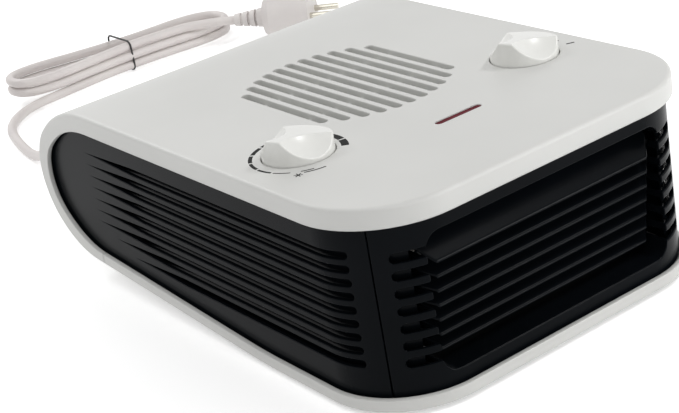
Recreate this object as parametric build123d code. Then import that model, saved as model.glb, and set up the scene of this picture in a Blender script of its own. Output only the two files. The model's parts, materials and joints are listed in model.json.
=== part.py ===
from build123d import *
import math
import os

os.makedirs("parts", exist_ok=True)

# Case
WIDTH = 220.0
DEPTH = 320.0
HEIGHT = 106.0
HALF = WIDTH / 2
FRONT = -DEPTH / 2
BACK = DEPTH / 2
FOOT = 2.0            # the foot pads hold the base this far off the table
WALL = 2.5
RIM = 10.5            # white rim above and behind the black panels
RIM_LOW = 7.0         # white rim below the black panels
OVERHANG = 3.8        # the rim stands proud of the black panels
CORNER = 48.0         # front corners, seen from above
EDGE = 1.8            # rounding of the rim's outer edges
SWEEP_TOP = 0.815 * HEIGHT    # three radii of the rear sweep, from the top to the underside
SWEEP_BACK = 0.362 * HEIGHT
SWEEP_UNDER = 0.522 * HEIGHT
TURN_TOP = 40.0       # headings where one radius gives way to the next, degrees
TURN_BACK = 135.0
RISE = 3.84           # degrees that the underside climbs to the rear
ROCKER = 400.0        # radius where the underside starts to climb
GAP = 0.4             # between neighbouring mouldings
SKIN = 2.4            # black mouldings
LAP = 5.5             # the panels run this far up behind the rim
SEAM = 220.5          # where side panel and front grille meet on the corner, degrees
OUTSIDE = 5.0         # cutting tools reach this far past the case

# Top
KNOB_X = HALF - 36.0
KNOB_Y = FRONT + 96.2
KNOB_R = 18.0
KNOB_RISE = 13.0
KNOB_SINK = 9.0
KNOB_EDGE = 0.9
KNOB_SLOPE = 9.5      # the knob's top falls away from its pointer, degrees
KNOB_REST = 17.5      # turn of both knobs in the photograph, degrees
SCOOP_R = 28.7
SCOOP_OFF = KNOB_R + 8.5
SCOOP_LOW = 0.7       # the scoops stop this far above the case
SCOOP_TURN = 74.0     # the finger scoops face this far from the pointer, degrees
WELL_R = KNOB_R + 0.6
WELL_WALL = 1.8
WELL_FLOOR = 2.0
SHAFT_R = 3.0
RUNNING = 0.05        # radial clearance of a turning shaft
INTAKE_Y = FRONT + 154.0
INTAKE_R = 56.0
INTAKE_T = 6.5
SLOT_COUNT = 11
SLOT_PITCH = 8.4
SLOT_W = 5.2
CROSS_Y = 20.0
CROSS_W = 2.4
WINDOW_Y = FRONT + 64.0
WINDOW_L = 29.0
WINDOW_W = 4.4

# Side panels
LOUVRES = 9
LOUVRE_TOP = HEIGHT - 25.7
LOUVRE_PITCH = 0.0656 * HEIGHT
LOUVRE_H = 0.6 * LOUVRE_PITCH
LOUVRE_END = 26.5     # the louvres run this far round the corner, degrees
LOUVRE_FRONT = FRONT + CORNER - (CORNER - OVERHANG) * math.sin(math.radians(LOUVRE_END))
LOUVRE_TAPER = 46.0
LOUVRE_TIP = BACK - 62.0
LOUVRE_SHORT = 17.0   # the last two stop this much and twice this much sooner
LOUVRE_RISE = 0.12    # slope of the louvres' faces

# Front outlet
OUT_HALF = HALF - 36.0
OUT_LOW = 16.0
OUT_HIGH = HEIGHT - 19.0
OUT_R = 8.0
OUT_DEEP = 24.0
OUT_WALL = 2.0
SLATS = 7
SLAT_TOP = OUT_HIGH - 16.5
SLAT_PITCH = (SLAT_TOP - OUT_LOW - 7.6) / (SLATS - 1)
SLAT_STEP = 1.0       # each slat starts this much further back than the one above
SLAT_Y = FRONT + 7.8
SLAT_CHORD = 12.5
SLAT_LIFT = 7.0
SLAT_T = 1.7
SLAT_TRIM = 7.0       # the slats' front corners are cut back by this much
HOOD_CHORD = 16.0     # the top slat runs up to the outlet's roof
FINGER_TOP = OUT_HIGH - 8.5
FINGER_PITCH = (OUT_HIGH - OUT_LOW) / 8
FINGER_H = 5.0
FINGER_X = OUT_HALF + 15.4
FINGER_IN = 6.0       # the finger slots open this far into the outlet
FINGER_DEEP = 22.0
WEB_T = 1.6           # webs behind the finger slots keep the inside out of sight

# Fan and heater
DUCT_T = 2.0
DUCT_CLEAR = 0.6
DUCT_R = KNOB_X - WELL_R - WELL_WALL - DUCT_T - DUCT_CLEAR    # the duct passes between the dial wells
DUCT_RISE = 4.0       # the duct stands this far above the base's inside
DUCT_HIGH = HEIGHT - INTAKE_T - 1.0
DUCT_POST_R = 4.0
BLOCK_DEEP = 25.0
BLOCK_WALL = 7.0
BLOCK_FRONT = FRONT + OVERHANG + OUT_DEEP + DUCT_CLEAR
BLOCK_BACK = BLOCK_FRONT + BLOCK_DEEP
BLOCK_HALF = OUT_HALF + DUCT_T
DUCT_FRONT = BLOCK_BACK + 0.5
DUCT_NECK = DUCT_FRONT + 26.0
FAN_R = DUCT_R - 7.0
FAN_HIGH = DUCT_HIGH - 4.0
FAN_LOW = FAN_HIGH - 0.36 * HEIGHT
BLADES = 24
BLADE_DEEP = 9.0
BLADE_T = 1.4
BLADE_TURN = 28.0
HUB_R = 8.0
SPINDLE_R = 2.5
MOTOR_R = FAN_R - BLADE_DEEP - 8.0
MOTOR_HIGH = FAN_LOW - 5.0
CERAMICS = 3
CERAMIC_T = 3.2
FIN_PITCH = 6.0
FIN_T = 0.7
CUTOUT_X = 0.6 * OUT_HALF
CUTOUT_R = 8.0
CUTOUT_H = 7.0
LAMP_L = WINDOW_L - 5.0
LAMP_R = 3.2

# Screws and feet
POST_X = HALF - 18.0
POST_Y = (FRONT + 60.0, BACK - 96.0)
POST_R = 5.0
POST_JOIN = HEIGHT / 2 - 1.0
SCREW_R = 2.0
HEAD_R = 3.6
FOOT_R = 7.0
FOOT_X = HALF - 30.0
FOOT_Y = (FRONT + 40.0, BACK - 80.0)
PLINTH_X = (-HALF + 12.0, -HALF + 48.0)
PLINTH_Y = (BACK - 92.0, BACK - 68.0)
TERMINAL_L = 30.0
TERMINAL_W = 16.0
TERMINAL_H = 13.0

# Cord
CORD_D = 7.0
EXIT_X = -HALF + 64.0
RELIEF_L = 40.0
RELIEF_R = (7.0, 4.6)
HANK_LEFT = EXIT_X + 52.0
HANK_L = 190.0
HANK_RIGHT = HANK_LEFT + HANK_L
HANK_Y = BACK + 287.0
HANK_HALF = 23.8
HANK_WAIST = 12.0
HANK_LAYERS = 3
LAYER = 7.4
TIE_T = 1.0
TIE_W = 5.0
TIE_EASE = 0.5
FLOOR_Z = CORD_D / 2 + 0.1
HANK_Z = CORD_D / 2 + TIE_EASE + TIE_T + 0.1    # the hank lies on its tie
JOIN_X = HANK_LEFT + 0.18 * HANK_L
TAIL_X = HANK_LEFT + 0.65 * HANK_L
TOP_Z = HANK_Z + LAYER * (HANK_LAYERS - 1)
FOLD_R = 21.0
PLUG_HEADING = -47.0
PLUG_R = TOP_Z - 0.3      # the plug lies on the table, level with the hank's top layer
PLUG_L = 38.0
PLUG_RELIEF_L = 25.0
PIN_R = 2.4
PIN_L = 19.0
PIN_SPREAD = 19.0


def save(shape, node):
    shape.label = node
    export_step(shape, "parts/" + node + ".step")
    print(node, "solids", len(shape.solids()), "volume", round(shape.volume, 1), "valid", shape.is_valid)


def heading(degrees):
    turn = math.radians(degrees)
    return (math.sin(turn), math.cos(turn))


def along(start, direction, length):
    return (start[0] + direction[0] * length, start[1] + direction[1] * length)


def dot(a, b):
    return a[0] * b[0] + a[1] * b[1]


BACK_C = (BACK - SWEEP_BACK, HEIGHT - SWEEP_TOP + (SWEEP_TOP - SWEEP_BACK) * heading(TURN_TOP)[1])
TOP_C = along(BACK_C, heading(TURN_TOP), SWEEP_BACK - SWEEP_TOP)
UNDER_C = along(BACK_C, heading(TURN_BACK), SWEEP_BACK - SWEEP_UNDER)
UNDER_N = heading(180 - RISE)
UNDER_K = dot(UNDER_C, UNDER_N) + SWEEP_UNDER
ROCKER_Y = (UNDER_K - ROCKER + (FOOT + ROCKER) * math.cos(math.radians(RISE))) / math.sin(math.radians(RISE))
ROCKER_C = (ROCKER_Y, FOOT + ROCKER)


def arc(centre, radius, first, last):
    points = [along(centre, heading(turn), radius) for turn in (first, (first + last) / 2, last)]
    return ThreePointArc(*points)


def profile(depth, low, front):
    """Side view of the case, set in by depth above and behind and by low underneath."""
    u = heading(TURN_BACK)
    back_r = SWEEP_BACK - depth
    rest = UNDER_K - low - dot(BACK_C, UNDER_N) - back_r * dot(u, UNDER_N)
    under_r = rest / (1 - dot(u, UNDER_N))
    under_c = along(BACK_C, u, back_r - under_r)
    top = arc(TOP_C, SWEEP_TOP - depth, 0, TURN_TOP)
    back = arc(BACK_C, back_r, TURN_TOP, TURN_BACK)
    under = arc(under_c, under_r, TURN_BACK, 180 - RISE)
    rocker = arc(ROCKER_C, ROCKER - low, 180 - RISE, 180)
    high_corner = (front, HEIGHT - depth)
    low_corner = (front, FOOT + low)
    lines = [Line(high_corner, top @ 0), top, back, under, Line(under @ 1, rocker @ 0), rocker]
    lines += [Line(rocker @ 1, low_corner), Line(low_corner, high_corner)]
    return make_face(Curve(children=lines).edges())


def bar(depth, low, front, half):
    """The side view carried across the case."""
    return extrude(Plane.YZ * profile(depth, low, front), half, both=True)


def plan(inset):
    half = HALF - inset
    front = FRONT + inset
    r = CORNER - inset
    c = r * (1 - math.sqrt(0.5))
    lines = [
        Line((-half, BACK + OUTSIDE), (-half, front + r)),
        ThreePointArc((-half, front + r), (-half + c, front + c), (-half + r, front)),
        Line((-half + r, front), (half - r, front)),
        ThreePointArc((half - r, front), (half - c, front + c), (half, front + r)),
        Line((half, front + r), (half, BACK + OUTSIDE)),
        Line((half, BACK + OUTSIDE), (-half, BACK + OUTSIDE)),
    ]
    return make_face(Curve(children=lines).edges())


def column(inset):
    """The plan carried up through the case."""
    return extrude(plan(inset), HEIGHT + 1)


def block(x, y, z):
    size = (x[1] - x[0], y[1] - y[0], z[1] - z[0])
    return Pos((x[0] + x[1]) / 2, (y[0] + y[1]) / 2, (z[0] + z[1]) / 2) * Box(*size)


def rod(x, y, low, high, r):
    return Pos(x, y, (low + high) / 2) * Cylinder(r, high - low)


def floor_at(y):
    """Height of the outside of the base at a depth."""
    if y < ROCKER_Y:
        return FOOT
    return (y * math.sin(math.radians(RISE)) - UNDER_K) / math.cos(math.radians(RISE))


DUCT_LOW = floor_at(INTAKE_Y + DUCT_R) + WALL + DUCT_RISE
BLOCK_LOW = DUCT_LOW - 1.5
BLOCK_HIGH = OUT_HIGH + 3.0
MOTOR_LOW = DUCT_LOW + 5.0

# White shell, cut into a top cover and a base
outer = bar(0, 0, FRONT, HALF) & column(0)
rim_edges = [
    e for e in outer.edges() if abs(abs(e.center().X) - HALF) < 0.01 or e.center().Y < FRONT + CORNER
]
rim_edges = [e for e in rim_edges if not (e.geom_type == GeomType.LINE and abs(e.tangent_at(0.5).Z) > 0.9)]
outer = fillet(rim_edges, EDGE)
hollow = bar(WALL, WALL, FRONT + WALL, HALF - WALL) & column(WALL)
window = bar(RIM, RIM_LOW, FRONT - OUTSIDE, HALF + OUTSIDE)
shell = outer - hollow - window
split_y = UNDER_C[0] - 6
wide = (-HALF - OUTSIDE, HALF + OUTSIDE)
top_cover = shell - block(wide, (FRONT - OUTSIDE, split_y), (-OUTSIDE, HEIGHT / 2))
base = shell & block(wide, (FRONT - OUTSIDE, split_y - GAP), (-OUTSIDE, HEIGHT / 2))

slot_xs = [(i - (SLOT_COUNT - 1) / 2) * SLOT_PITCH for i in range(SLOT_COUNT)]
top_cover += rod(0, INTAKE_Y, HEIGHT - INTAKE_T, HEIGHT - 0.5, INTAKE_R + 2)
for x in slot_xs:
    reach = math.sqrt(INTAKE_R**2 - x**2)
    slot = extrude(Pos(x, INTAKE_Y) * SlotOverall(2 * reach, SLOT_W, rotation=90), HEIGHT + 5)
    top_cover -= slot
for side in (-1, 1):
    half_bar = slot_xs[-1] + SLOT_W / 2
    y = INTAKE_Y + side * CROSS_Y
    rib_y = (y - CROSS_W / 2, y + CROSS_W / 2)
    top_cover += block((-half_bar, half_bar), rib_y, (HEIGHT - INTAKE_T, HEIGHT - INTAKE_T / 2))
well_low = HEIGHT - KNOB_SINK - 1
for x in (-KNOB_X, KNOB_X):
    top_cover += rod(x, KNOB_Y, well_low - WELL_FLOOR, HEIGHT - 0.5, WELL_R + WELL_WALL)
    top_cover -= rod(x, KNOB_Y, well_low, HEIGHT + 5, WELL_R)
    top_cover -= rod(x, KNOB_Y, well_low - 5, HEIGHT, SHAFT_R + 1.2)
window_hole = SlotOverall(WINDOW_L, WINDOW_W)
top_cover -= extrude(Pos(0, WINDOW_Y, HEIGHT - 10) * window_hole, 20)
relief_hole = Pos(EXIT_X, BACK, BACK_C[1]) * Rot(90, 0, 0) * Cylinder(RELIEF_R[0] + 0.1, 20)
top_cover -= relief_hole
posts = [(x, y) for x in (-POST_X, POST_X) for y in POST_Y]
for x, y in posts:
    top_cover += rod(x, y, POST_JOIN + GAP, HEIGHT - 0.5, POST_R)
    top_cover -= rod(x, y, POST_JOIN - 1, POST_JOIN + 16, SCREW_R + 0.05)
    base += rod(x, y, floor_at(y) + 1.5, POST_JOIN, POST_R)
    base -= rod(x, y, -5, POST_JOIN + 1, SCREW_R + 0.3)
    base -= rod(x, y, -5, floor_at(y) + 6, HEAD_R + 0.3)
pads = []
for x, y in [(x, y) for x in (-FOOT_X, FOOT_X) for y in FOOT_Y]:
    base += rod(x, y, FOOT, floor_at(y) + 1.5, FOOT_R + 1.5)
    pads.append(rod(x, y, 0, FOOT, FOOT_R))
for side in (-1, 1):
    for x, y in ((0.8 * DUCT_R, DUCT_NECK + 8), (0.7 * DUCT_R, INTAKE_Y + DUCT_R / 2)):
        base += rod(side * x, y, floor_at(y) + 1.5, DUCT_LOW, DUCT_POST_R)
plinth_z = floor_at(PLINTH_Y[1]) + 4
base += block(PLINTH_X, PLINTH_Y, (floor_at((PLINTH_Y[0] + PLINTH_Y[1]) / 2) + 1.5, plinth_z))
save(top_cover, "top_cover")
save(base, "bottom_cover")
save(Compound(children=pads), "foot_pads")

screws = []
for x, y in posts:
    low = floor_at(y)
    head = rod(x, y, low + 3.2, low + 6, HEAD_R)
    for turn in (0, 90):
        head -= Pos(x, y, low + 3.9) * Rot(0, 0, turn) * Box(4.4, 0.9, 1.6)
    screws.append(head + rod(x, y, low + 5, POST_JOIN + 14, SCREW_R))
save(Compound(children=screws), "case_screws")

# Black skin, cut into two side panels and the front grille
skin_bar = bar(RIM - LAP, RIM - LAP, FRONT - OUTSIDE, HALF + OUTSIDE)
skin = (column(OVERHANG) - column(OVERHANG + SKIN)) & skin_bar
corner_c = (-HALF + CORNER, FRONT + CORNER)
seam_dir = (math.cos(math.radians(SEAM)), math.sin(math.radians(SEAM)))


def front_zone(shift):
    """Plan of what lies ahead of the two corner seams, moved back by shift."""
    near = (corner_c[0], corner_c[1] + shift)
    far = along(near, seam_dir, 2 * CORNER)
    ahead = far[1] - CORNER
    left = [near, far, (far[0], ahead)]
    right = [(-x, y) for x, y in reversed(left)]
    return extrude(make_face(Polyline(*left, *right, close=True)), HEIGHT + OUTSIDE)


grille = skin & front_zone(0)
sides = skin - front_zone(GAP * 1.4)
left_panel = sides & block((-HALF - OUTSIDE, 0), (FRONT - OUTSIDE, BACK + OUTSIDE), (0, HEIGHT))


def louvre(i):
    z = LOUVRE_TOP - LOUVRE_PITCH * i
    tip = LOUVRE_TIP - LOUVRE_SHORT * max(0, i - LOUVRES + 3)
    h = LOUVRE_H / 2
    lines = [
        Line((tip, z), (tip - LOUVRE_TAPER, z + h)),
        Line((tip - LOUVRE_TAPER, z + h), (LOUVRE_FRONT + h, z + h)),
        ThreePointArc((LOUVRE_FRONT + h, z + h), (LOUVRE_FRONT, z), (LOUVRE_FRONT + h, z - h)),
        Line((LOUVRE_FRONT + h, z - h), (tip - LOUVRE_TAPER, z - h)),
        Line((tip - LOUVRE_TAPER, z - h), (tip, z)),
    ]
    face = Plane.YZ.offset(-HALF) * make_face(Curve(children=lines).edges())
    return extrude(face, CORNER, dir=(1, 0, LOUVRE_RISE))


for i in range(LOUVRES):
    left_panel -= louvre(i)
right_panel = mirror(left_panel, Plane.YZ)
save(left_panel, "left_panel")
save(right_panel, "right_panel")


def outlet(grow, y0, y1):
    tall = OUT_HIGH - OUT_LOW + 2 * grow
    face = RectangleRounded(2 * (OUT_HALF + grow), tall, OUT_R + grow)
    return extrude(Plane.XZ.offset(-y0) * Pos(0, (OUT_LOW + OUT_HIGH) / 2) * face, -(y1 - y0))


skin_y = FRONT + OVERHANG
tub_back = skin_y + OUT_DEEP
tub = outlet(OUT_WALL, skin_y + SKIN / 2, tub_back) & column(OVERHANG + SKIN / 2)
grille = grille + tub
finger_l = FINGER_X - OUT_HALF + FINGER_IN
for side in (-1, 1):
    for i in range(SLATS):
        z = FINGER_TOP - FINGER_PITCH * i
        x = side * (FINGER_X - finger_l / 2)
        face = Plane.XZ.offset(-FRONT) * Pos(x, z) * SlotOverall(finger_l, FINGER_H)
        grille -= extrude(face, -FINGER_DEEP)
grille -= outlet(0, FRONT - OUTSIDE, tub_back + OUTSIDE)
web_y = (FRONT + FINGER_DEEP + 0.4, FRONT + FINGER_DEEP + 0.4 + WEB_T)
for side in (-1, 1):
    web_x = sorted((side * (OUT_HALF + OUT_WALL / 2), side * HALF))
    web = block(web_x, web_y, (OUT_LOW + OUT_R, OUT_HIGH - OUT_R / 2))
    grille += web & front_zone(0) & column(OVERHANG + SKIN / 2)
for i in range(SLATS):
    y = SLAT_Y + SLAT_STEP * i
    z = SLAT_TOP - SLAT_PITCH * i
    chord = HOOD_CHORD if i == 0 else SLAT_CHORD
    lift = OUT_HIGH + SLAT_T - z if i == 0 else SLAT_LIFT
    rear = (y + chord, z + lift)
    side_view = Polyline((y, z), rear, (rear[0], rear[1] - SLAT_T), (y, z - SLAT_T), close=True)
    blade = extrude(Plane.YZ * make_face(side_view), OUT_HALF + 1, both=True)
    tip = OUT_HALF - SLAT_TRIM
    left = [(-tip, y - 1), (-OUT_HALF - 1, y + SLAT_TRIM), (-OUT_HALF - 1, y + chord + 1)]
    right = [(-px, py) for px, py in reversed(left)]
    grille += blade & extrude(make_face(Polyline(*left, *right, close=True)), HEIGHT)
save(grille, "front_grille")

# Knobs, controls and lamp


def knob(x):
    low = HEIGHT - KNOB_SINK
    shape = rod(0, 0, low, HEIGHT + KNOB_RISE, KNOB_R)
    tip = Pos(-KNOB_R, 0, HEIGHT + KNOB_RISE) * Rot(0, KNOB_SLOPE, 0)
    shape -= tip * Pos(2 * KNOB_R, 0, KNOB_R) * Box(6 * KNOB_R, 4 * KNOB_R, 2 * KNOB_R)
    for side in (-1, 1):
        scoop = Pos(-SCOOP_OFF, 0, HEIGHT + SCOOP_R + SCOOP_LOW) * Sphere(SCOOP_R)
        shape -= Rot(0, 0, side * SCOOP_TURN) * scoop
    soft = [e for e in shape.edges() if e.center().Z > HEIGHT + 0.5]
    shape = fillet(soft, KNOB_EDGE)
    shape -= rod(0, 0, low - 1, HEIGHT + 5.2, SHAFT_R + 0.02)
    return Pos(x, KNOB_Y, 0) * Rot(0, 0, KNOB_REST) * shape


def control(x, wide, deep, tall):
    top = well_low - WELL_FLOOR
    body = block((x - wide / 2, x + wide / 2), (KNOB_Y - deep / 2, KNOB_Y + deep / 2), (top - tall, top))
    body += rod(x, KNOB_Y, top - 1, well_low + 0.6, SHAFT_R + 1.1)
    body -= rod(x, KNOB_Y, top - tall + 3, HEIGHT, SHAFT_R + RUNNING)
    for i in (-1, 0, 1):
        tag_x = x + i * 8
        tag_y = KNOB_Y + deep / 2
        body += block((tag_x - 3, tag_x + 3), (tag_y - 1, tag_y + 8), (top - tall + 4, top - tall + 4.8))
    shaft = rod(x, KNOB_Y, top - tall + 3.4, HEIGHT + 5, SHAFT_R)
    return body, shaft


for name, x, size in (("thermostat", -KNOB_X, (30, 28, 16)), ("switch", KNOB_X, (34, 34, 20))):
    body, shaft = control(x, *size)
    save(knob(x), name + "_knob")
    save(body, name + "_body")
    save(shaft, name + "_shaft")

lens = extrude(Pos(0, WINDOW_Y, HEIGHT - WALL - 0.5) * SlotOverall(WINDOW_L - 0.2, WINDOW_W - 0.2), WALL)
lens += extrude(Pos(0, WINDOW_Y, HEIGHT - WALL - 1.5) * SlotOverall(WINDOW_L + 5, WINDOW_W + 5), 1.5)
lamp_z = HEIGHT - WALL - 5.5
lamp_y = (WINDOW_Y - LAMP_R - 0.8, WINDOW_Y + LAMP_R + 0.8)
lamp = Pos(0, WINDOW_Y, lamp_z) * Rot(0, 90, 0) * Cylinder(LAMP_R, LAMP_L)
lamp += block((-LAMP_L / 2 - 1, LAMP_L / 2 + 1), lamp_y, (lamp_z - 6, lamp_z - 1))
for side in (-1, 1):
    end = side * LAMP_L / 2
    lamp += block((end - 1, end + 1), lamp_y, (lamp_z - 6, HEIGHT - WALL - 1.5))
save(lens, "indicator_lens")
save(lamp, "indicator_lamp")

# Fan, its motor and its duct


def duct_plan(grow):
    r = DUCT_R + grow
    wide = OUT_HALF + grow
    pts = [(-r, INTAKE_Y), (-r, DUCT_NECK), (-wide, DUCT_FRONT)]
    pts += [(-x, y) for x, y in reversed(pts)]
    lines = [Line(a, b) for a, b in zip(pts, pts[1:])]
    lines.append(ThreePointArc(pts[-1], (0, INTAKE_Y + r), pts[0]))
    return make_face(Curve(children=lines).edges())


duct = extrude(Pos(0, 0, DUCT_LOW) * duct_plan(DUCT_T), DUCT_HIGH - DUCT_LOW)
duct -= extrude(Pos(0, 0, DUCT_LOW + DUCT_T) * duct_plan(0), HEIGHT)
duct -= block((-OUT_HALF, OUT_HALF), (DUCT_FRONT - 5, DUCT_FRONT + 3), (DUCT_LOW + DUCT_T, HEIGHT))
save(duct, "fan_housing")

mount = rod(0, INTAKE_Y, DUCT_LOW + DUCT_T, MOTOR_LOW, MOTOR_R + 6)
mount -= rod(0, INTAKE_Y, 0, HEIGHT, 10)
motor = rod(0, INTAKE_Y, MOTOR_LOW, MOTOR_HIGH, MOTOR_R)
motor += rod(0, INTAKE_Y, MOTOR_HIGH - 1, MOTOR_HIGH + 3, HUB_R)
motor_l = MOTOR_HIGH - MOTOR_LOW
for i in range(12):
    vent = Pos(MOTOR_R, 0, MOTOR_LOW + motor_l / 2) * Box(2.4, 4, 0.66 * motor_l)
    motor -= Pos(0, INTAKE_Y, 0) * Rot(0, 0, i * 30) * vent
motor -= rod(0, INTAKE_Y, MOTOR_LOW + 2, HEIGHT, SPINDLE_R + RUNNING)
spindle = rod(0, INTAKE_Y, MOTOR_LOW + 2.4, FAN_HIGH - 8, SPINDLE_R)
wheel = rod(0, INTAKE_Y, FAN_LOW, FAN_LOW + 2, FAN_R)
wheel += rod(0, INTAKE_Y, FAN_LOW, FAN_HIGH - 6, HUB_R)
ring = rod(0, INTAKE_Y, FAN_HIGH - 2.5, FAN_HIGH, FAN_R)
wheel += ring - rod(0, INTAKE_Y, FAN_LOW, HEIGHT, FAN_R - BLADE_DEEP)
blade_z = (FAN_LOW + FAN_HIGH) / 2
for i in range(BLADES):
    blade = Rot(0, 0, BLADE_TURN) * Box(BLADE_DEEP, BLADE_T, FAN_HIGH - FAN_LOW - 2)
    blade = Pos(FAN_R - BLADE_DEEP / 2 - 0.4, 0, blade_z) * blade
    wheel += Pos(0, INTAKE_Y, 0) * Rot(0, 0, i * 360 / BLADES) * blade
wheel -= rod(0, INTAKE_Y, 0, FAN_HIGH - 8, SPINDLE_R)
save(mount, "motor_mount")
save(motor, "motor")
save(spindle, "motor_spindle")
save(wheel, "fan_wheel")

# Ceramic heating block
x_in = BLOCK_HALF - BLOCK_WALL
z_in = (BLOCK_LOW + BLOCK_WALL, BLOCK_HIGH - BLOCK_WALL)
frame = block((-BLOCK_HALF, BLOCK_HALF), (BLOCK_FRONT, BLOCK_BACK), (BLOCK_LOW, BLOCK_HIGH))
frame -= block((-x_in, x_in), (BLOCK_FRONT - 5, BLOCK_BACK + 5), z_in)
save(frame, "heater_frame")
band = (z_in[1] - z_in[0] - CERAMICS * CERAMIC_T) / (CERAMICS + 1)
bars = []
fins = []
fin_y = (BLOCK_FRONT + 3, BLOCK_BACK - 3)
for i in range(CERAMICS):
    low = z_in[0] + band * (i + 1) + CERAMIC_T * i
    bars.append(block((-x_in, x_in), fin_y, (low, low + CERAMIC_T)))
steps = int(2 * (x_in - 2) / FIN_PITCH)
for i in range(CERAMICS + 1):
    low = z_in[0] + (band + CERAMIC_T) * i
    lower = [(-x_in + 1 + k * FIN_PITCH, low + k % 2 * (band - FIN_T)) for k in range(steps + 1)]
    upper = [(x, z + FIN_T) for x, z in reversed(lower)]
    strip = make_face(Polyline(*lower, *upper, close=True))
    fins.append(extrude(Plane.XZ.offset(-fin_y[0]) * strip, -(fin_y[1] - fin_y[0])))
save(Compound(children=bars), "ceramic_bars")
save(Compound(children=fins), "heater_fins")
block_mid = (BLOCK_FRONT + BLOCK_BACK) / 2
cutout = rod(CUTOUT_X, block_mid, BLOCK_HIGH, BLOCK_HIGH + CUTOUT_H, CUTOUT_R)
ear = (CUTOUT_X - CUTOUT_R - 4, CUTOUT_X + CUTOUT_R + 4)
cutout += block(ear, (block_mid - 2, block_mid + 2), (BLOCK_HIGH, BLOCK_HIGH + 1))
save(cutout, "thermal_cutout")
strip_x = (PLINTH_X[0] + PLINTH_X[1] - TERMINAL_L) / 2
strip_y = (PLINTH_Y[0] + PLINTH_Y[1]) / 2
deep = (strip_y - TERMINAL_W / 2, strip_y + TERMINAL_W / 2)
terminals = block((strip_x, strip_x + TERMINAL_L), deep, (plinth_z, plinth_z + TERMINAL_H))
for i in range(3):
    x = strip_x + TERMINAL_L / 6 * (2 * i + 1)
    terminals -= rod(x, strip_y, plinth_z + 6, plinth_z + 20, 2.4)
    terminals -= block((x - 2, x + 2), (deep[0] - 5, deep[1] + 5), (plinth_z + 2, plinth_z + 5.5))
save(terminals, "terminal_block")

# Cord: gland, lead, tied hank, tail and plug
exit_z = BACK_C[1]
gland = Plane((EXIT_X, BACK, exit_z), x_dir=(1, 0, 0), z_dir=(0, 1, 0))
relief = gland * Pos(0, 0, RELIEF_L / 2) * Cone(RELIEF_R[0], RELIEF_R[1], RELIEF_L)
relief += gland * Pos(0, 0, -4) * Cylinder(RELIEF_R[0], 8)
relief += gland * Pos(0, 0, -6) * Cylinder(RELIEF_R[0] + 2.5, 3)
for i in range(4):
    groove = gland * Pos(0, 0, 8 + 7 * i)
    relief -= groove * (Cylinder(12, 2.2) - Cylinder(4.3, 2.2))
save(relief, "strain_relief")


def unit(a, b):
    return (Vector(*b) - Vector(*a)).normalized()


def radii(route):
    out = []
    for a, b, c in zip(route, route[1:], route[2:]):
        turn = unit(a, b).get_angle(unit(b, c))
        run = min((Vector(*b) - Vector(*a)).length, (Vector(*c) - Vector(*b)).length)
        out.append(0.45 * run / math.tan(math.radians(turn) / 2))
    return out


def tube(route, rs, name):
    path = FilletPolyline(*route, radius=rs)
    face = Plane(route[0], z_dir=unit(route[0], route[1])) * Circle(CORD_D / 2)
    solid = sweep(face, path=path)
    ratio = solid.volume / (path.length * face.area)
    print(name, "length", round(path.length, 1), "volume ratio", round(ratio, 4))
    print(name, "radii", [round(r, 1) for r in rs])
    return solid, path


mid_x = (HANK_LEFT + HANK_RIGHT) / 2
near_y = HANK_Y - HANK_HALF
far_y = HANK_Y + HANK_HALF
slope = (HANK_HALF - HANK_WAIST) / (HANK_RIGHT - mid_x)
waist_r = 0.9 * (TAIL_X - mid_x) / slope


def near_run(x):
    """Depth of the hank's near run at a place along it."""
    return HANK_Y - HANK_WAIST - slope * abs(x - mid_x)


lead_route = [
    (EXIT_X, BACK + RELIEF_L, exit_z),
    (EXIT_X, BACK + RELIEF_L + 38, exit_z),
    (EXIT_X, BACK + 116, 22),
    (EXIT_X + 3, BACK + 162, FLOOR_Z),
    (EXIT_X + 10, BACK + 204, FLOOR_Z),
    (EXIT_X + 22, BACK + 242, FLOOR_Z),
    (JOIN_X - 38, near_run(JOIN_X - 38), HANK_Z),
    (JOIN_X, near_run(JOIN_X), HANK_Z),
]
lead, lead_path = tube(lead_route, radii(lead_route), "cord_lead")
hank_route = [lead_route[-1]]
hank_r = []
for k in range(HANK_LAYERS):
    z = HANK_Z + LAYER * k
    hank_route.append((mid_x, HANK_Y - HANK_WAIST, z))
    hank_r.append(waist_r)
    if k < HANK_LAYERS - 1:
        hank_route += [(HANK_RIGHT, near_y, z), (HANK_RIGHT, far_y, z)]
        hank_route.append((mid_x, HANK_Y + HANK_WAIST, z + LAYER / 2))
        hank_route += [(HANK_LEFT, far_y, z + LAYER), (HANK_LEFT, near_y, z + LAYER)]
        hank_r += [FOLD_R, FOLD_R, waist_r, FOLD_R, FOLD_R]
hank_route.append((TAIL_X, near_run(TAIL_X), TOP_Z))
hank, hank_path = tube(hank_route, hank_r, "cord_hank")
samples = [hank_path.position_at(i / 900) for i in range(901)]
step = hank_path.length / 900
apart = int(4 * CORD_D / step)
least = min((samples[i] - samples[j]).length for i in range(901) for j in range(i + apart, 901))
print("cord_hank least gap", round(least - CORD_D, 2))

tail_turn = Vector(math.cos(math.radians(PLUG_HEADING)), math.sin(math.radians(PLUG_HEADING)), 0)
bend = (TAIL_X + 30, near_run(TAIL_X + 30), TOP_Z)
plug_start = Vector(*bend) + tail_turn * 34
tail_route = [hank_route[-1], bend, tuple(plug_start)]
tail, tail_path = tube(tail_route, radii(tail_route), "cord_tail")
save(lead, "cord_lead")
save(hank, "cord_hank")
save(tail, "cord_tail")
print("cord length", round(lead_path.length + hank_path.length + tail_path.length, 1))

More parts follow.
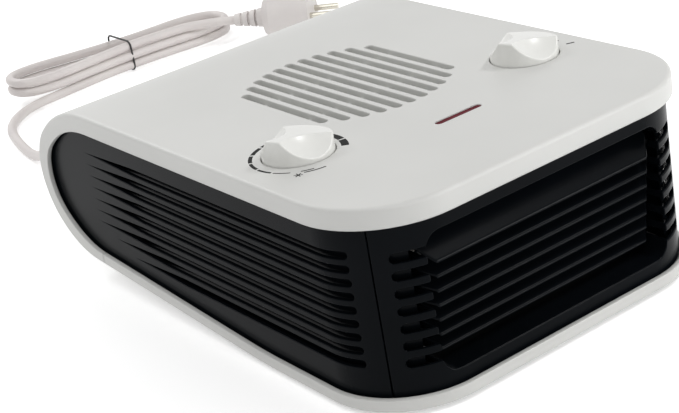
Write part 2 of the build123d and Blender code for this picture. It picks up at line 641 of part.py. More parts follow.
waist_sag = waist_r * (1 / math.cos(math.atan(slope)) - 1)
tie_w = 2 * (HANK_WAIST + waist_sag + TIE_EASE) + CORD_D
tie_h = LAYER * (HANK_LAYERS - 1) + CORD_D + 2 * TIE_EASE
tie_r = CORD_D / 2 + 0.2
tie_face = RectangleRounded(tie_w + 2 * TIE_T, tie_h + 2 * TIE_T, tie_r + TIE_T)
tie_face -= RectangleRounded(tie_w, tie_h, tie_r)
tie_z = HANK_Z + LAYER * (HANK_LAYERS - 1) / 2
tie = extrude(Plane.YZ.offset(mid_x - TIE_W / 2) * Pos(HANK_Y, tie_z) * tie_face, TIE_W)
save(tie, "cord_tie")

plug = Plane(tuple(plug_start), x_dir=(0, 0, 1), z_dir=tuple(tail_turn))
plug_relief = plug * Pos(0, 0, PLUG_RELIEF_L / 2) * Cone(CORD_D / 2 + 1.2, 8, PLUG_RELIEF_L)
for i in range(3):
    plug_relief -= plug * Pos(0, 0, 6 + 6 * i) * (Cylinder(12, 2) - Cylinder(4.2, 2))
body = plug * Pos(0, 0, PLUG_RELIEF_L + PLUG_L / 2) * Cylinder(PLUG_R, PLUG_L)
body = chamfer(body.edges().filter_by(GeomType.CIRCLE).sort_by_distance(plug_start)[0], 6)
pins = []
for side in (-1, 1):
    pin = plug * Pos(0, side * PIN_SPREAD / 2, PLUG_RELIEF_L + PLUG_L + PIN_L / 2) * Cylinder(PIN_R, PIN_L)
    pins.append(pin)
save(plug_relief, "plug_relief")
save(body, "plug_body")
save(Compound(children=pins), "plug_pins")
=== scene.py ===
# %% [markdown]
# # A flat ceramic fan heater
# The imported model comes in first and is a fixed frame: every piece keeps the place that the CAD gave it.
# This lesson adds what the CAD leaves out: a camera, the real line of the cord, soft moulded edges, a wire tie,
# printed dial marks, finishes and light.

# %% Load the frame
import json
import math
import bpy
from mathutils import Matrix, Vector


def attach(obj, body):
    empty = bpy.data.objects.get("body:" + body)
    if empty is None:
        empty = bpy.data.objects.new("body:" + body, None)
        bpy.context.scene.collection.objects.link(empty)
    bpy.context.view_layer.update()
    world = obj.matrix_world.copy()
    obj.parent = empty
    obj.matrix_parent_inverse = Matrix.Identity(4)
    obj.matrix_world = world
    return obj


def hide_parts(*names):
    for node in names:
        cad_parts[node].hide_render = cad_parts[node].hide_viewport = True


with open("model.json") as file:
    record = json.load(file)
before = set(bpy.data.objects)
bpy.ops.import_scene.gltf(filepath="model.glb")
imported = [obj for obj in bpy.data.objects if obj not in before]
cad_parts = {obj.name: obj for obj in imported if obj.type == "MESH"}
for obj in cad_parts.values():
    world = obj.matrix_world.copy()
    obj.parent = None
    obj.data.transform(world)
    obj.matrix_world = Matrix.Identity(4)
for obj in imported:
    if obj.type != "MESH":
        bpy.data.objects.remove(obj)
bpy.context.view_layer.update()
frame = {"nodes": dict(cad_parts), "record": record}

nodes = frame["nodes"]

# %% [markdown]
# ## The camera
# The photograph looks down on the front left corner with a longish lens, and its horizon climbs to the right.
# A camera can be aimed with a constraint, but a plain place, a look-at point and a roll are easier to read,
# and the same three numbers can be checked against the picture.

# %% Place the camera
MM = 0.001
CAMERA_AT = Vector((-470.6, -698.1, 396.4)) * MM
CAMERA_LOOK = Vector((0.50236, 0.76909, -0.39515))
CAMERA_RIGHT = Vector((0.78632, -0.59643, -0.16118))
CAMERA_LENS = 88.81

back = -CAMERA_LOOK.normalized()
right = (CAMERA_RIGHT - back * CAMERA_RIGHT.dot(back)).normalized()
turn = Matrix((right, back.cross(right), back)).transposed().to_4x4()
camera = bpy.data.objects.new("camera", bpy.data.cameras.new("camera"))
bpy.context.scene.collection.objects.link(camera)
camera.matrix_world = Matrix.Translation(CAMERA_AT) @ turn
camera.data.lens = CAMERA_LENS
camera.data.sensor_width = 36.0
camera.data.clip_start = 0.01
bpy.context.scene.camera = camera
print("camera:", [round(v, 3) for v in CAMERA_AT], "lens", CAMERA_LENS)

# %% [markdown]
# ## The mains cord
# The cord leaves a tapered sleeve at the back, drops to the table, is folded into a hank of two rounds under
# a tie, and ends in the plug. A bent pipe of straight runs would look like wire. One NURBS curve pulled by the
# same points that the CAD route has gives the slow bends of a PVC lead. The bevel is one unit wide and each point's
# radius scales it down to the cord's own, so that the box round the curve has its real thickness.

# %% Lay the cord
CORD_DIAMETER = 7.0
LEAD = [(-46, 200, 56.394), (-46, 238, 56.394), (-46, 276, 22), (-43, 322, 3.6), (-36, 364, 3.6),
        (-24, 402, 3.6), (2.2, 422.728, 5.1), (40.2, 427.448, 5.1)]
HANK = [(101, 435, 5.1), (196, 423.2, 5.1), (196, 470.8, 5.1), (101, 459, 8.8), (6, 470.8, 12.5),
        (6, 423.2, 12.5), (101, 435, 12.5), (196, 423.2, 12.5), (196, 470.8, 12.5), (101, 459, 16.2),
        (6, 470.8, 19.9), (6, 423.2, 19.9), (101, 435, 19.9), (129.5, 431.46, 19.9)]
TAIL = [(159.5, 427.734, 19.9), (182.688, 402.868, 19.9)]
route = LEAD + HANK + TAIL

line = bpy.data.curves.new("mains_cord", "CURVE")
line.dimensions = "3D"
line.bevel_depth = 1.0
line.bevel_resolution = 5
line.resolution_u = 14
line.use_fill_caps = True
spline = line.splines.new("NURBS")
spline.points.add(len(route) - 1)
for point, spot in zip(spline.points, route):
    point.co = (*(Vector(spot) * MM), 1.0)
    point.radius = CORD_DIAMETER / 2 * MM
spline.order_u = 3
spline.use_endpoint_u = True
cord = bpy.data.objects.new("mains_cord", line)
bpy.context.scene.collection.objects.link(cord)
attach(cord, "case")
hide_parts("cord_lead", "cord_hank", "cord_tail")
print("cord:", len(route), "points, length", round(spline.calc_length(), 3), "m")

# %% [markdown]
# ## The wire tie
# The hank is held by a thin black tie: a plastic-coated wire laid once round all the runs and twisted shut behind.
# A plane is the start: without its face its four edges are a loop, bevelled corners make it hug the bundle, and a
# curve with a thick line turns it into wire. The twisted end is a small ring swept round an axis by a Screw
# modifier, copied once for the second strand.

# %% Bend the tie
TIE_WIRE = 1.5
TIE_AT = Vector((101.0, 447.0, 12.5))
TIE_HALF = (17.6, 11.65)
TIE_CORNER = 4.6


def begin():
    bpy.ops.object.select_all(action="DESELECT")


def settle(piece, name):
    begin()
    piece.select_set(True)
    bpy.context.view_layer.objects.active = piece
    bpy.ops.object.transform_apply(location=True, rotation=True, scale=True)
    piece.name = name
    piece.data.name = name


begin()
bpy.ops.mesh.primitive_plane_add(size=2.0)
loop = bpy.context.object
loop.scale = (TIE_HALF[0] * MM, TIE_HALF[1] * MM, 1.0)
loop.rotation_euler = (math.pi / 2, 0, math.pi / 2)
loop.location = TIE_AT * MM
bpy.ops.object.transform_apply(location=True, rotation=True, scale=True)
bpy.ops.object.mode_set(mode="EDIT")
bpy.ops.mesh.select_all(action="SELECT")
bpy.ops.mesh.bevel(affect="VERTICES", offset=TIE_CORNER * MM, segments=8)
bpy.ops.mesh.delete(type="ONLY_FACE")
bpy.ops.object.mode_set(mode="OBJECT")
bpy.ops.object.convert(target="CURVE")
loop = bpy.context.object
loop.data.bevel_depth = TIE_WIRE / 2 * MM
loop.data.bevel_resolution = 3
bpy.ops.object.convert(target="MESH")
loop = bpy.context.object
print("tie loop:", len(loop.data.polygons), "faces")

# %% [markdown]
# The two ends are twisted on each other. Both strands are the same helix, half a turn apart, lying along the far
# side of the bundle just under its top.

# %% Twist its ends
TWIST_LONG = 9.0
TWIST_TURNS = 2.4
TWIST_STEPS = 56
TWIST_AT = TIE_AT + Vector((-1.0, TIE_HALF[0] + 2.4, -3.0))
TWIST_TILT = (math.radians(12), math.radians(-84), 0)
strands = []
for half_turn in (0.0, math.pi):
    begin()
    bpy.ops.mesh.primitive_circle_add(vertices=10, radius=TIE_WIRE / 2 * MM, fill_type="NGON",
                                      location=(TIE_WIRE / 2 * MM, 0, 0), rotation=(math.pi / 2, 0, 0))
    strand = bpy.context.object
    bpy.ops.object.transform_apply(location=True, rotation=True, scale=True)
    sweep = strand.modifiers.new("twist", "SCREW")
    sweep.screw_offset = TWIST_LONG * MM
    sweep.angle = TWIST_TURNS * math.tau
    sweep.steps = sweep.render_steps = TWIST_STEPS
    sweep.use_merge_vertices = False
    bpy.ops.object.modifier_apply(modifier="twist")
    strand.rotation_euler = (0, 0, half_turn)
    bpy.ops.object.transform_apply(rotation=True)
    strand.rotation_euler = TWIST_TILT
    strand.location = TWIST_AT * MM
    strands.append(strand)
begin()
for strand in strands + [loop]:
    strand.select_set(True)
bpy.context.view_layer.objects.active = loop
bpy.ops.object.join()
wire_tie = loop
settle(wire_tie, "wire_tie")
bpy.ops.object.mode_set(mode="EDIT")
bpy.ops.mesh.select_all(action="SELECT")
bpy.ops.mesh.remove_doubles(threshold=0.00001)
bpy.ops.mesh.normals_make_consistent(inside=False)
bpy.ops.object.mode_set(mode="OBJECT")
bpy.ops.object.shade_smooth_by_angle(angle=math.radians(50))
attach(wire_tie, "case")
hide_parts("cord_tie")
print("wire tie:", len(wire_tie.data.polygons), "faces, wire", TIE_WIRE, "mm")

# %% [markdown]
# ## Soft edges on the black mouldings
# On the real panels and grille no edge is sharp: plastic is rounded at every lip of a louvre, at the short slots
# of the corners and along each slat, and those lips draw the fine bright lines that the eye reads as louvres.
# Edges could be faked in the shader, but a highlight that wanders with the view needs real roundings. Each
# moulding is copied from its CAD node, its triangles are joined back to whole faces, and a Bevel modifier rounds
# every edge that turns by more than a given angle.

# %% Round the lips of panels and grille
LIP = {"front_grille": 0.8, "left_panel": 0.45, "right_panel": 0.45}
LIP_TURN = 28.0
FLAT_TURN = 0.6
MERGE = 0.002
mouldings = {}


def whole_copy(node_name):
    begin()
    copy = bpy.data.objects.new(node_name + "_softened", nodes[node_name].data.copy())
    bpy.context.scene.collection.objects.link(copy)
    copy.select_set(True)
    bpy.context.view_layer.objects.active = copy
    bpy.ops.mesh.customdata_custom_splitnormals_clear()
    bpy.ops.object.mode_set(mode="EDIT")
    bpy.ops.mesh.select_all(action="SELECT")
    bpy.ops.mesh.remove_doubles(threshold=MERGE * MM)
    bpy.ops.mesh.dissolve_limited(angle_limit=math.radians(FLAT_TURN))
    bpy.ops.object.mode_set(mode="OBJECT")
    return copy


for node_name, lip in LIP.items():
    piece = whole_copy(node_name)
    rounding = piece.modifiers.new("lips", "BEVEL")
    rounding.width = lip * MM
    rounding.segments = 3
    rounding.limit_method = "ANGLE"
    rounding.angle_limit = math.radians(LIP_TURN)
    rounding.harden_normals = True
    rounding.use_clamp_overlap = False
    bpy.ops.object.shade_smooth()
    bpy.ops.object.modifier_apply(modifier="lips")
    mouldings[node_name] = piece
    print(piece.name, len(piece.data.polygons), "faces, lips", lip, "mm")

# %% [markdown]
# ## Painted shade behind the louvres
# The side louvres are to look black right through, as their inside lies in shade. That shade is painted: each panel
# gets a thin black sheet behind its slots, joined to the same moulding, so that nothing of the inside shows. A plane is
# cut twice with bisect, along the slots' tips and above the climbing base. Its front edge is spun round the corner
# until it also closes the short slots of the grille, and a Solidify modifier gives it thickness before it is joined to
# its panel.

# %% Close the louvres from behind with a sheet of painted shade
SHADE_SHEET_X = 101.6
SHADE_SHEET_T = 0.8
SHADE_SHEET_Y = (-112.0, 101.0)
SHADE_SHEET_Z = (6.0, 88.0)
SHADE_SHEET_CUT = Vector((0.0, 66.0, 18.0))
CUT_SLOPES = (0.4, 0.095)
CORNER_AT = Vector((62.0, -112.0, 0.0))
CORNER_TURN = 64.0
# Painted shade: each sheet is a black wall behind a panel's slots, standing for the shadow inside the heater.
for node_name, side in (("left_panel", -1), ("right_panel", 1)):
    begin()
    bpy.ops.mesh.primitive_plane_add(size=1.0)
    shade_sheet = bpy.context.object
    shade_sheet.scale = ((SHADE_SHEET_Z[1] - SHADE_SHEET_Z[0]) * MM, (SHADE_SHEET_Y[1] - SHADE_SHEET_Y[0]) * MM, 1.0)
    shade_sheet.rotation_euler = (0, side * math.pi / 2, 0)
    shade_sheet.location = Vector((side * SHADE_SHEET_X, sum(SHADE_SHEET_Y) / 2, sum(SHADE_SHEET_Z) / 2)) * MM
    bpy.ops.object.transform_apply(location=True, rotation=True, scale=True)
    bpy.ops.object.mode_set(mode="EDIT")
    for slope in CUT_SLOPES:
        bpy.ops.mesh.select_all(action="SELECT")
        bpy.ops.mesh.bisect(plane_co=SHADE_SHEET_CUT * MM, plane_no=(0, slope, -1), clear_outer=True)
    bpy.ops.mesh.select_all(action="DESELECT")
    bpy.ops.object.mode_set(mode="OBJECT")
    for point in shade_sheet.data.vertices:
        point.select = point.co.y < (SHADE_SHEET_Y[0] + 0.1) * MM
    bpy.ops.object.mode_set(mode="EDIT")
    bpy.ops.mesh.spin(steps=16, angle=side * math.radians(CORNER_TURN), axis=(0, 0, 1),
                      center=(side * CORNER_AT.x * MM, CORNER_AT.y * MM, 0))
    bpy.ops.mesh.select_all(action="SELECT")
    bpy.ops.mesh.remove_doubles(threshold=0.00001)
    bpy.ops.mesh.normals_make_consistent(inside=False)
    bpy.ops.object.mode_set(mode="OBJECT")
    thick = shade_sheet.modifiers.new("thickness", "SOLIDIFY")
    thick.thickness = SHADE_SHEET_T * MM
    thick.offset = 0.0
    bpy.ops.object.modifier_apply(modifier="thickness")
    bpy.ops.object.shade_smooth_by_angle(angle=math.radians(30))
    print("backing", [round(v / MM, 1) for v in shade_sheet.dimensions], "mm")
    begin()
    shade_sheet.select_set(True)
    mouldings[node_name].select_set(True)
    bpy.context.view_layer.objects.active = mouldings[node_name]
    bpy.ops.object.join()
for node_name, piece in mouldings.items():
    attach(piece, "case")
    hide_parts(node_name)

# %% [markdown]
# ## The thermostat's printed scale
# Round the thermostat a ring of dashes is printed, from a hair line at cold to a broad band at hot. It is pad
# printing, a film of ink as thin as a hair. An image could carry it, but as a thin sheet of its own it stays
# crisp at any size. A disc with an inset gives the ring, its faces are picked by their angle for the gaps, and the
# inner edge of each dash is moved out until the dash has its own width.

# %% Print the thermostat scale
TOP = 106.0
INK = 0.05
THERMOSTAT = Vector((-74.0, -63.8, TOP))
SCALE_R = 24.6
SCALE_WIDEST = 3.8
SCALE_FINEST = 0.8
SCALE_FROM = 225.0
DASHES = 11
DASH_TURN = 24.0
DASH_GAP = 3.0

begin()
bpy.ops.mesh.primitive_circle_add(vertices=120, radius=SCALE_R * MM, fill_type="NGON", location=THERMOSTAT * MM)
ring = bpy.context.object
bpy.ops.object.mode_set(mode="EDIT")
bpy.ops.mesh.inset(thickness=SCALE_WIDEST * MM)
bpy.ops.mesh.delete(type="FACE")
bpy.ops.object.mode_set(mode="OBJECT")


def turned(spot):
    return (SCALE_FROM - math.degrees(math.atan2(spot[1], spot[0]))) % 360.0


for face in ring.data.polygons:
    along = turned(face.center)
    face.select = along > DASHES * DASH_TURN or along % DASH_TURN > DASH_TURN - DASH_GAP
bpy.ops.object.mode_set(mode="EDIT")
bpy.ops.mesh.delete(type="FACE")
bpy.ops.object.mode_set(mode="OBJECT")
inner = [math.hypot(*point.co[:2]) < (SCALE_R - 0.5 * SCALE_WIDEST) * MM for point in ring.data.vertices]
for k in range(DASHES):
    width = SCALE_FINEST + (SCALE_WIDEST - SCALE_FINEST) * (k / (DASHES - 1)) ** 0.75
    bpy.ops.object.mode_set(mode="EDIT")
    bpy.ops.mesh.select_all(action="DESELECT")
    bpy.ops.object.mode_set(mode="OBJECT")
    for point in ring.data.vertices:
        along = (turned(point.co) + 1.0) % 360.0
        point.select = inner[point.index] and k * DASH_TURN < along < (k + 1) * DASH_TURN
    grow = (SCALE_R - width) / (SCALE_R - SCALE_WIDEST)
    bpy.ops.object.mode_set(mode="EDIT")
    bpy.ops.transform.resize(value=(grow, grow, 1.0), center_override=THERMOSTAT * MM)
    bpy.ops.object.mode_set(mode="OBJECT")
print("scale:", DASHES, "dashes,", len(ring.data.polygons), "faces")

# %% [markdown]
# At the cold end stands a frost star of three crossed strokes, and two hair lines lead on from it. The strokes are
# thin planes turned round one point, the lines are narrow rings cut by angle like the scale.

# %% Print the frost star
STAR_AT = THERMOSTAT + Vector((-16.6, -22.8, 0.0))
STAR = 4.4
STROKE = 0.55
HAIR = 0.9
HAIR_LINES = ((24.6, 13.0, 28.0), (26.6, 16.0, 40.0))
marks = [ring]
for k in range(3):
    begin()
    bpy.ops.mesh.primitive_plane_add(size=1.0, location=STAR_AT * MM)
    stroke = bpy.context.object
    stroke.scale = (STAR * MM, STROKE * MM, 1.0)
    stroke.rotation_euler = (0, 0, math.radians(60 * k + 20))
    marks.append(stroke)
for radius, first, last in HAIR_LINES:
    begin()
    bpy.ops.mesh.primitive_circle_add(vertices=120, radius=radius * MM, fill_type="NGON", location=THERMOSTAT * MM)
    hair = bpy.context.object
    bpy.ops.object.mode_set(mode="EDIT")
    bpy.ops.mesh.inset(thickness=HAIR * MM)
    bpy.ops.mesh.delete(type="FACE")
    bpy.ops.object.mode_set(mode="OBJECT")
    for face in hair.data.polygons:
        face.select = not first < 360.0 - turned(face.center) < last
    bpy.ops.object.mode_set(mode="EDIT")
    bpy.ops.mesh.delete(type="FACE")
    bpy.ops.object.mode_set(mode="OBJECT")
    marks.append(hair)
print("frost star and hair lines:", len(marks) - 1, "strokes")

# %% [markdown]
# All strokes become one sheet of ink. Extruded by its thickness and set a little into the plastic, it has a closed
# body and no face that lies exactly on the cover. The switch has two short dashes, made the same way from planes
# whose ends are rounded by a corner bevel.

# %% Give the ink its thickness
SWITCH = Vector((74.0, -63.8, TOP))
SWITCH_DASHES = [((24.0, 0.6), 2.6, 0.9, -8.0), ((25.2, -8.4), 4.6, 1.3, -24.0)]
dashes = []
for offset, long, wide, angle in SWITCH_DASHES:
    begin()
    bpy.ops.mesh.primitive_plane_add(size=1.0, location=(SWITCH + Vector((*offset, 0))) * MM)
    dash = bpy.context.object
    dash.scale = (long * MM, wide * MM, 1.0)
    dash.rotation_euler = (0, 0, math.radians(angle))
    bpy.ops.object.transform_apply(location=True, rotation=True, scale=True)
    bpy.ops.object.mode_set(mode="EDIT")
    bpy.ops.mesh.bevel(affect="VERTICES", offset=0.4 * wide * MM, segments=4)
    bpy.ops.object.mode_set(mode="OBJECT")
    dashes.append(dash)

prints = []
for name, strokes in (("thermostat_scale_print", marks), ("switch_dash_print", dashes)):
    begin()
    for stroke in strokes:
        stroke.select_set(True)
    bpy.context.view_layer.objects.active = strokes[0]
    bpy.ops.object.join()
    sheet = strokes[0]
    settle(sheet, name)
    bpy.ops.object.mode_set(mode="EDIT")
    bpy.ops.mesh.select_all(action="SELECT")
    bpy.ops.mesh.normals_make_consistent(inside=False)
    bpy.ops.mesh.extrude_region_move(TRANSFORM_OT_translate={"value": (0, 0, INK * MM)})
    bpy.ops.mesh.select_all(action="SELECT")
    bpy.ops.transform.translate(value=(0, 0, -0.3 * INK * MM))
    bpy.ops.mesh.normals_make_consistent(inside=False)
    bpy.ops.object.mode_set(mode="OBJECT")
    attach(sheet, "case")
    prints.append(sheet)
    print(sheet.name, len(sheet.data.polygons), "faces, film", INK, "mm")

# %% [markdown]
# ## Colours and nodes
# Colours are written as the hex values that a colour picker shows. Blender mixes light in linear numbers, so one
# function turns hex to linear. A second small function adds a node, fills its sockets and links it, so that each
# finish below reads as a short recipe.

# %% Helpers for finishes
finish = {}


def linear(code):
    parts = [int(code[i:i + 2], 16) / 255 for i in (1, 3, 5)]
    return tuple(p / 12.92 if p <= 0.04045 else ((p + 0.055) / 1.055) ** 2.4 for p in parts) + (1.0,)


def add(tree, kind, sockets=None, **settings):
    node = tree.nodes.new(kind)
    for name, value in settings.items():
        setattr(node, name, value)
    for name, value in (sockets or {}).items():
        if isinstance(value, bpy.types.NodeSocket):
            tree.links.new(value, node.inputs[name])
        else:
            node.inputs[name].default_value = value
    return node


def new_finish(name, slot, **sockets):
    material = bpy.data.materials.new(name)
    material.use_nodes = True
    tree = material.node_tree
    tree.nodes.clear()
    shader = add(tree, "ShaderNodeBsdfPrincipled", sockets)
    add(tree, "ShaderNodeOutputMaterial", {"Surface": shader.outputs["BSDF"]})
    finish[slot] = material
    print("finish", name, "for", slot)
    return tree, shader


def moulded_skin(tree, shader, tones, cloud_mm, grain_mm, depth_mm, rough, edge_mm=0.0):
    place = add(tree, "ShaderNodeTexCoord").outputs["Object"]
    cloud = add(tree, "ShaderNodeTexNoise", {"Vector": place, "Scale": 1 / (cloud_mm * MM), "Detail": 3.0})
    tone = add(tree, "ShaderNodeValToRGB", {"Fac": cloud.outputs["Fac"]})
    for stop, at, code in zip(tone.color_ramp.elements, (0.32, 0.68), tones):
        stop.position = at
        stop.color = linear(code)
    grain = add(tree, "ShaderNodeTexNoise", {"Vector": place, "Scale": 1 / (grain_mm * MM), "Detail": 2.0})
    gloss = add(tree, "ShaderNodeMapRange", {"Value": grain.outputs["Fac"], "To Min": rough[0], "To Max": rough[1]})
    bump = add(tree, "ShaderNodeBump", {"Height": grain.outputs["Fac"], "Distance": depth_mm * MM})
    if edge_mm:
        edge = add(tree, "ShaderNodeBevel", {"Radius": edge_mm * MM}, samples=8)
        tree.links.new(edge.outputs["Normal"], bump.inputs["Normal"])
    tree.links.new(tone.outputs["Color"], shader.inputs["Base Color"])
    tree.links.new(gloss.outputs["Result"], shader.inputs["Roughness"])
    tree.links.new(bump.outputs["Normal"], shader.inputs["Normal"])
    print("  tones", *tones, "grain", grain_mm, "mm")


# %% [markdown]
# ## White ABS shell
# Top and base are injection moulded ABS. The tool was spark eroded, so the skin has a fine even grain that spreads
# highlights to a satin sheen. The white leans a little to grey and yellow. Its edges are softly rounded by the tool. On
# satin white no sharp highlight gives an edge away, so here normals bent by a Bevel node are enough.

# %% White shell
tree, shader = new_finish("white_abs_moulded_satin", "white_shell", IOR=1.53)
moulded_skin(tree, shader, ("#d6d6d3", "#dbdbd8"), 90, 0.9, 0.02, (0.36, 0.5), edge_mm=1.2)

# %% [markdown]
# ## Black polypropylene mouldings
# Panels and grille are black moulded polypropylene from a finer, smoother tool. The eye gets a near black that stays
# deep seen straight on and takes a cool sheen at a slant, so the base is dark, the mirror part weak and the
# roughness low. The dial marks are a black ink with a dull skin.

# %% Black mouldings
tree, shader = new_finish("black_pp_moulded_smooth", "black_moulding", **{"IOR": 1.49, "Specular IOR Level": 0.05})
moulded_skin(tree, shader, ("#070a0d", "#0b0e12"), 60, 0.7, 0.008, (0.2, 0.28))
tree, shader = new_finish("black_ink_pad_printed", "ink", **{"IOR": 1.5, "Specular IOR Level": 0.1})
moulded_skin(tree, shader, ("#0f100f", "#161716"), 4, 0.6, 0.002, (0.5, 0.62))

# %% [markdown]
# ## Gloss ABS dials
# The dials come from a polished tool, so they are a touch whiter and shinier than the shell round them.

# %% Dials
tree, shader = new_finish("white_abs_moulded_gloss", "knob_white", IOR=1.53)
moulded_skin(tree, shader, ("#eaeae6", "#eeeeea"), 40, 1.6, 0.001, (0.24, 0.26))

# %% [markdown]
# ## Dyed acrylic window
# The lamp shows through a bar of red dyed acrylic. Unlit, it is a dark wine red with a sharp gloss.

# %% Window and lamp
tree, shader = new_finish("red_acrylic_moulded_clear", "red_lens", **{"IOR": 1.49, "Specular IOR Level": 0.03})
moulded_skin(tree, shader, ("#5a0e1c", "#6a1426"), 12, 1.2, 0.004, (0.2, 0.28))
tree, shader = new_finish("neon_glass_drawn_clear", "neon_glass", IOR=1.52)
moulded_skin(tree, shader, ("#c9a08e", "#d6b3a2"), 6, 1.0, 0.004, (0.06, 0.12))

# %% [markdown]
# ## Inner plastics
# The duct and the fan wheel under the intake are pale moulded polypropylene, the element's frame is black heat-proof
# PPS with glass fibre, the control bodies are phenolic, and the terminal block is natural nylon. All are seen only
# through slots.

# %% Inner plastics
tree, shader = new_finish("pale_pp_moulded_duct", "duct_plastic", IOR=1.49)
moulded_skin(tree, shader, ("#dfe1d6", "#e6e8de"), 50, 1.2, 0.015, (0.4, 0.52))
tree, shader = new_finish("pale_pp_moulded_fan", "fan_plastic", IOR=1.49)
moulded_skin(tree, shader, ("#eceee4", "#f3f5ec"), 30, 1.0, 0.012, (0.36, 0.48))
tree, shader = new_finish("black_pps_glass_filled", "heater_plastic", IOR=1.65)
moulded_skin(tree, shader, ("#141414", "#1d1c1b"), 25, 0.8, 0.02, (0.5, 0.66))
tree, shader = new_finish("brown_phenolic_pressed", "control_body", IOR=1.63)
moulded_skin(tree, shader, ("#241a14", "#2f2219"), 20, 0.9, 0.02, (0.4, 0.55))
tree, shader = new_finish("natural_nylon_moulded", "terminal_plastic", IOR=1.53)
moulded_skin(tree, shader, ("#d9d2bd", "#e2dcc9"), 18, 1.0, 0.015, (0.35, 0.5))

# %% [markdown]
# ## Rubber, PVC and nylon on the outside
# Feet are black rubber with a dull skin. Cord and plug are off-white PVC with a faint pink cast, softer in sheen
# than the shell. The tie is wire in a black PVC coat.

# %% Rubber and PVC
tree, shader = new_finish("black_rubber_pressed", "foot_rubber", IOR=1.52)
moulded_skin(tree, shader, ("#151515", "#1e1d1c"), 15, 0.8, 0.03, (0.7, 0.85))
tree, shader = new_finish("offwhite_pvc_extruded", "cord_pvc", IOR=1.54)
moulded_skin(tree, shader, ("#d9d2d0", "#e2dcd9"), 30, 1.5, 0.015, (0.34, 0.46))
tree, shader = new_finish("offwhite_pvc_moulded", "plug_pvc", IOR=1.54)
moulded_skin(tree, shader, ("#d9d3d1", "#e1dcd9"), 30, 1.1, 0.02, (0.38, 0.5))
tree, shader = new_finish("black_pvc_coated_wire", "tie_black", IOR=1.54)
moulded_skin(tree, shader, ("#101011", "#19191b"), 3, 0.6, 0.02, (0.4, 0.55))

# %% [markdown]
# ## Metals and ceramic
# Shafts are turned steel, the motor can is zinc-coated sheet, screws are zinc plated, pins are nickel on brass,
# fins are rolled aluminium, and the element's bars are grey pressed ceramic.

# %% Metals and ceramic
for name, slot, tones, rough in (
        ("steel_turned", "shaft_steel", ("#a7a7a6", "#bdbdbb"), (0.22, 0.34)),
        ("steel_sheet_zinc_coated", "motor_steel", ("#9a9c9e", "#b4b6b8"), (0.32, 0.5)),
        ("steel_zinc_plated", "screw_steel", ("#a9a9a4", "#c2c1ba"), (0.25, 0.4)),
        ("brass_nickel_plated", "pin_brass", ("#c6c1b4", "#d3cfc4"), (0.14, 0.24)),
        ("aluminium_rolled_foil", "fin_aluminium", ("#c4c6c8", "#d6d7d9"), (0.28, 0.4))):
    tree, shader = new_finish(name, slot, Metallic=1.0)
    moulded_skin(tree, shader, tones, 8, 0.6, 0.01, rough)
tree, shader = new_finish("grey_ceramic_pressed", "ceramic", IOR=1.7)
moulded_skin(tree, shader, ("#8b867e", "#9b968e"), 9, 0.5, 0.02, (0.6, 0.75))

# %% [markdown]
# ## Give every node its finish
# The record names a slot for each CAD node, so one loop can dress all of them. Only the slot's material changes.

# %% Dress the CAD nodes
for part in frame["record"]["subparts"]:
    node = nodes[part["node"]]
    for holder in node.material_slots:
        holder.material = finish[part["material_slot"]]
for piece in mouldings.values():
    piece.data.materials.clear()
    piece.data.materials.append(finish["black_moulding"])
for sheet in prints:
    sheet.data.materials.append(finish["ink"])
cord.data.materials.append(finish["cord_pvc"])
wire_tie.data.materials.clear()
wire_tie.data.materials.append(finish["tie_black"])
print("dressed", len(nodes), "nodes and", len(prints) + len(mouldings) + 2, "pieces with", len(finish), "finishes")

# %% [markdown]
# ## The floor
# The object stands on a sheet of white paper. A plane is enough for it. What the camera and mirror rays see of it is
# lifted a little with a glow, so that the paper is white at a plain light level and the shadow stays.

# %% Floor
begin()
bpy.ops.mesh.primitive_plane_add(size=14.0)
floor = bpy.context.object
floor.name = "studio_floor"
tree, shader = new_finish("white_paper_matt", "floor", IOR=1.45)
moulded_skin(tree, shader, ("#fdfdfd", "#ffffff"), 300, 2.0, 0.001, (0.86, 0.94))
GLOW = 0.4


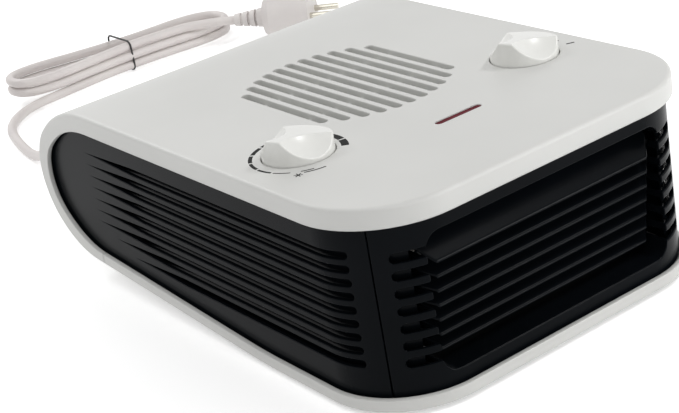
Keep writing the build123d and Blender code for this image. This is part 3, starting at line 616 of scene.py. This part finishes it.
def seen_rays(tree):
    path = add(tree, "ShaderNodeLightPath")
    either = add(tree, "ShaderNodeMath", {0: path.outputs["Is Camera Ray"], 1: path.outputs["Is Glossy Ray"]},
                 operation="MAXIMUM")
    return add(tree, "ShaderNodeMath", {0: either.outputs["Value"], 1: path.outputs["Is Transmission Ray"]},
               operation="MAXIMUM").outputs["Value"]


lift = add(tree, "ShaderNodeMapRange", {"Value": seen_rays(tree), "To Min": 0.0, "To Max": GLOW})
tree.links.new(lift.outputs["Result"], shader.inputs["Emission Strength"])
shader.inputs["Emission Color"].default_value = linear("#ffffff")
floor.data.materials.append(finish["floor"])
print("floor:", [round(v, 1) for v in floor.dimensions[:2]], "m")

# %% [markdown]
# ## The light
# A white world fills in from all round, and a wide softbox high on the left adds a little modelling, together at a
# level where a colour renders about as it is written. Three strip lights, two in front on the right, high and low, and
# one behind, stand where the rounded lips of slats and louvres mirror them to the camera.

# %% Light
scene = bpy.context.scene
scene.view_settings.view_transform = "Standard"
world = bpy.data.worlds.new("studio")
scene.world = world
world.use_nodes = True
tree = world.node_tree
tree.nodes.clear()
strength = add(tree, "ShaderNodeMapRange", {"Value": seen_rays(tree), "To Min": 0.42, "To Max": 1.0})
sky = add(tree, "ShaderNodeBackground", {"Color": linear("#ffffff"), "Strength": strength.outputs["Result"]})
add(tree, "ShaderNodeOutputWorld", {"Surface": sky.outputs["Background"]})
AIM = Vector((0, 0, 0.05))
LAMPS = (("key", (-1.0, -0.2, 1.9), (1.8, 1.8), 10.0),
         ("front_strip", (0.7, -0.6, 1.05), (0.4, 0.2), 4.0),
         ("low_strip", (0.65, -1.12, 0.12), (0.4, 0.1), 4.0),
         ("rear_strip", (-0.1, 1.25, 0.95), (1.0, 0.25), 5.0))
for name, spot, size, power in LAMPS:
    lamp = bpy.data.lights.new(name, "AREA")
    lamp.shape = "RECTANGLE"
    lamp.size, lamp.size_y = size
    lamp.energy = power
    holder = bpy.data.objects.new(name, lamp)
    scene.collection.objects.link(holder)
    holder.location = spot
    holder.rotation_euler = (AIM - Vector(spot)).to_track_quat("-Z", "Y").to_euler()
    print("lamp", name, spot, power, "W")

# %% Finish
bpy.context.view_layer.update()
